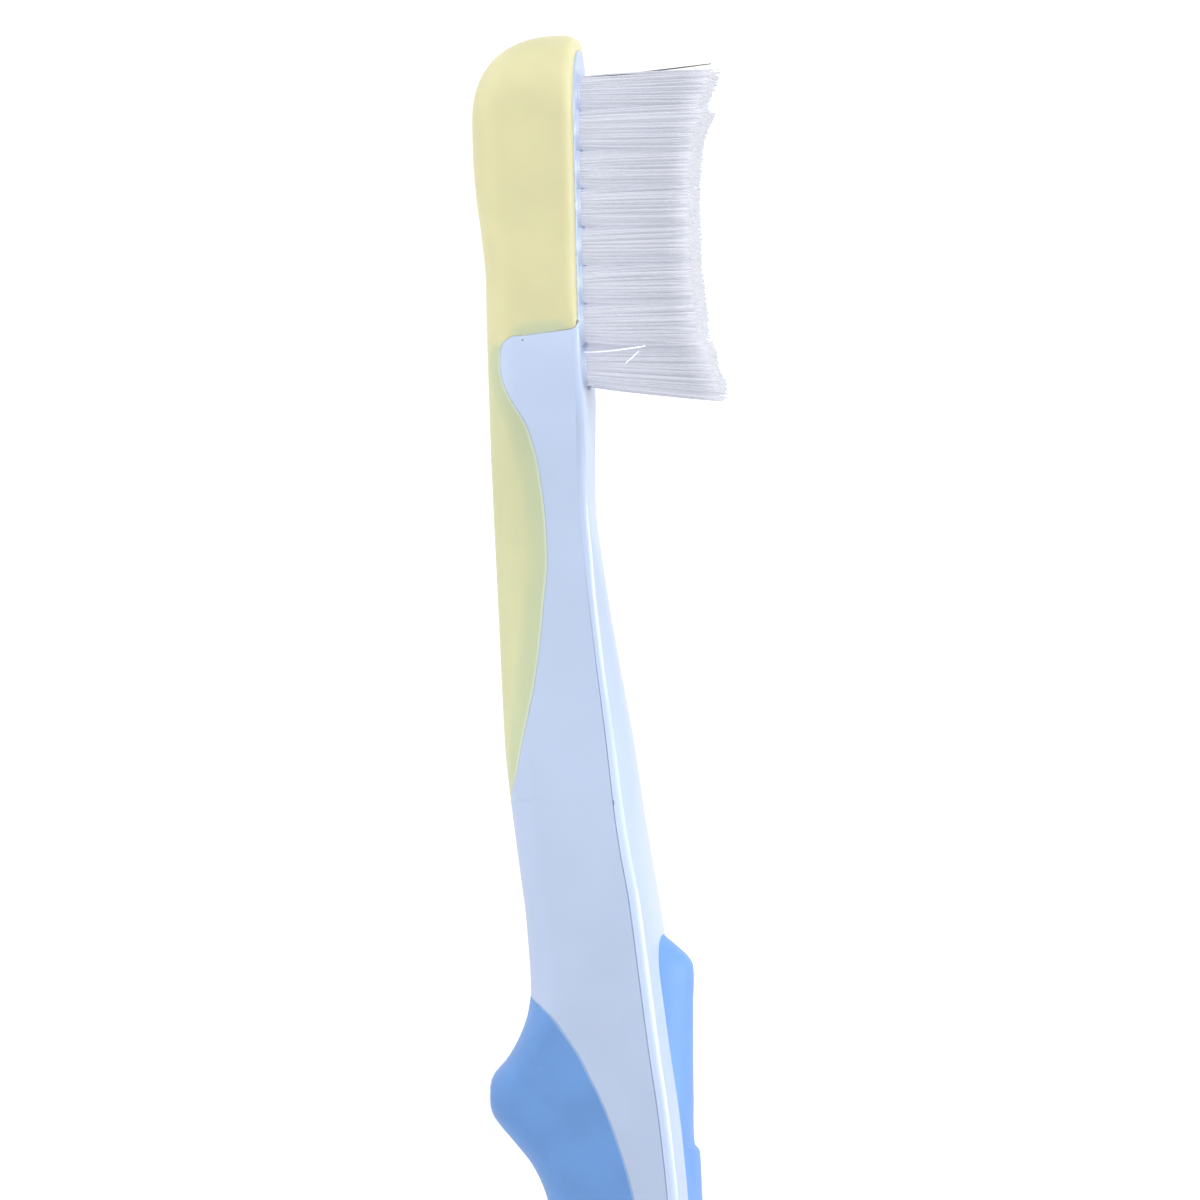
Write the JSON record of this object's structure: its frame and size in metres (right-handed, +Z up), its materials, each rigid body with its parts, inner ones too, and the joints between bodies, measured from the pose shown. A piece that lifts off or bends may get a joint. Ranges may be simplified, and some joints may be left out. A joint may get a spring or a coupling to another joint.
{
  "type": "manual toothbrush",
  "caption": "Child's manual toothbrush: hard handle with soft head cushion, thumb and back grips, and dished nylon tufts held by metal anchors.",
  "frame": {"origin": "on the table under the middle of the brush, which lies on its back", "axes": "+X along the brush towards the end of the handle, with the head at -X; +Z up, the way the bristles point; the brush is symmetric about the plane Y = 0"},
  "size_m": [0.146, 0.0134, 0.0172],
  "materials": {
    "hard_plastic": "pale blue moulded polypropylene, satin to gloss",
    "cushion_rubber": "soft pale yellow moulded elastomer, satin",
    "grip_rubber": "soft mid blue moulded elastomer, matt",
    "nylon": "clear to white nylon filament",
    "anchor_metal": "stamped nickel-brass strip"
  },
  "bodies": {
    "root": {"body": "hard_plastic", "head_cushion": "cushion_rubber", "thumb_grip": "grip_rubber", "back_grip": "grip_rubber", "anchors": "anchor_metal", "tuft_1_1": "nylon", "tuft_1_2": "nylon", "tuft_1_3": "nylon", "tuft_2_1": "nylon", "tuft_2_2": "nylon", "tuft_2_3": "nylon", "tuft_2_4": "nylon", "tuft_3_1": "nylon", "tuft_3_2": "nylon", "tuft_3_3": "nylon", "tuft_3_4": "nylon", "tuft_4_1": "nylon", "tuft_4_2": "nylon", "tuft_4_3": "nylon", "tuft_4_4": "nylon", "tuft_5_1": "nylon", "tuft_5_2": "nylon", "tuft_5_3": "nylon", "tuft_5_4": "nylon", "tuft_6_1": "nylon", "tuft_6_2": "nylon", "tuft_6_3": "nylon", "tuft_6_4": "nylon", "tuft_7_1": "nylon", "tuft_7_2": "nylon", "tuft_7_3": "nylon", "tuft_7_4": "nylon", "tuft_8_1": "nylon", "tuft_8_2": "nylon", "tuft_8_3": "nylon"}
  },
  "joints": []
}
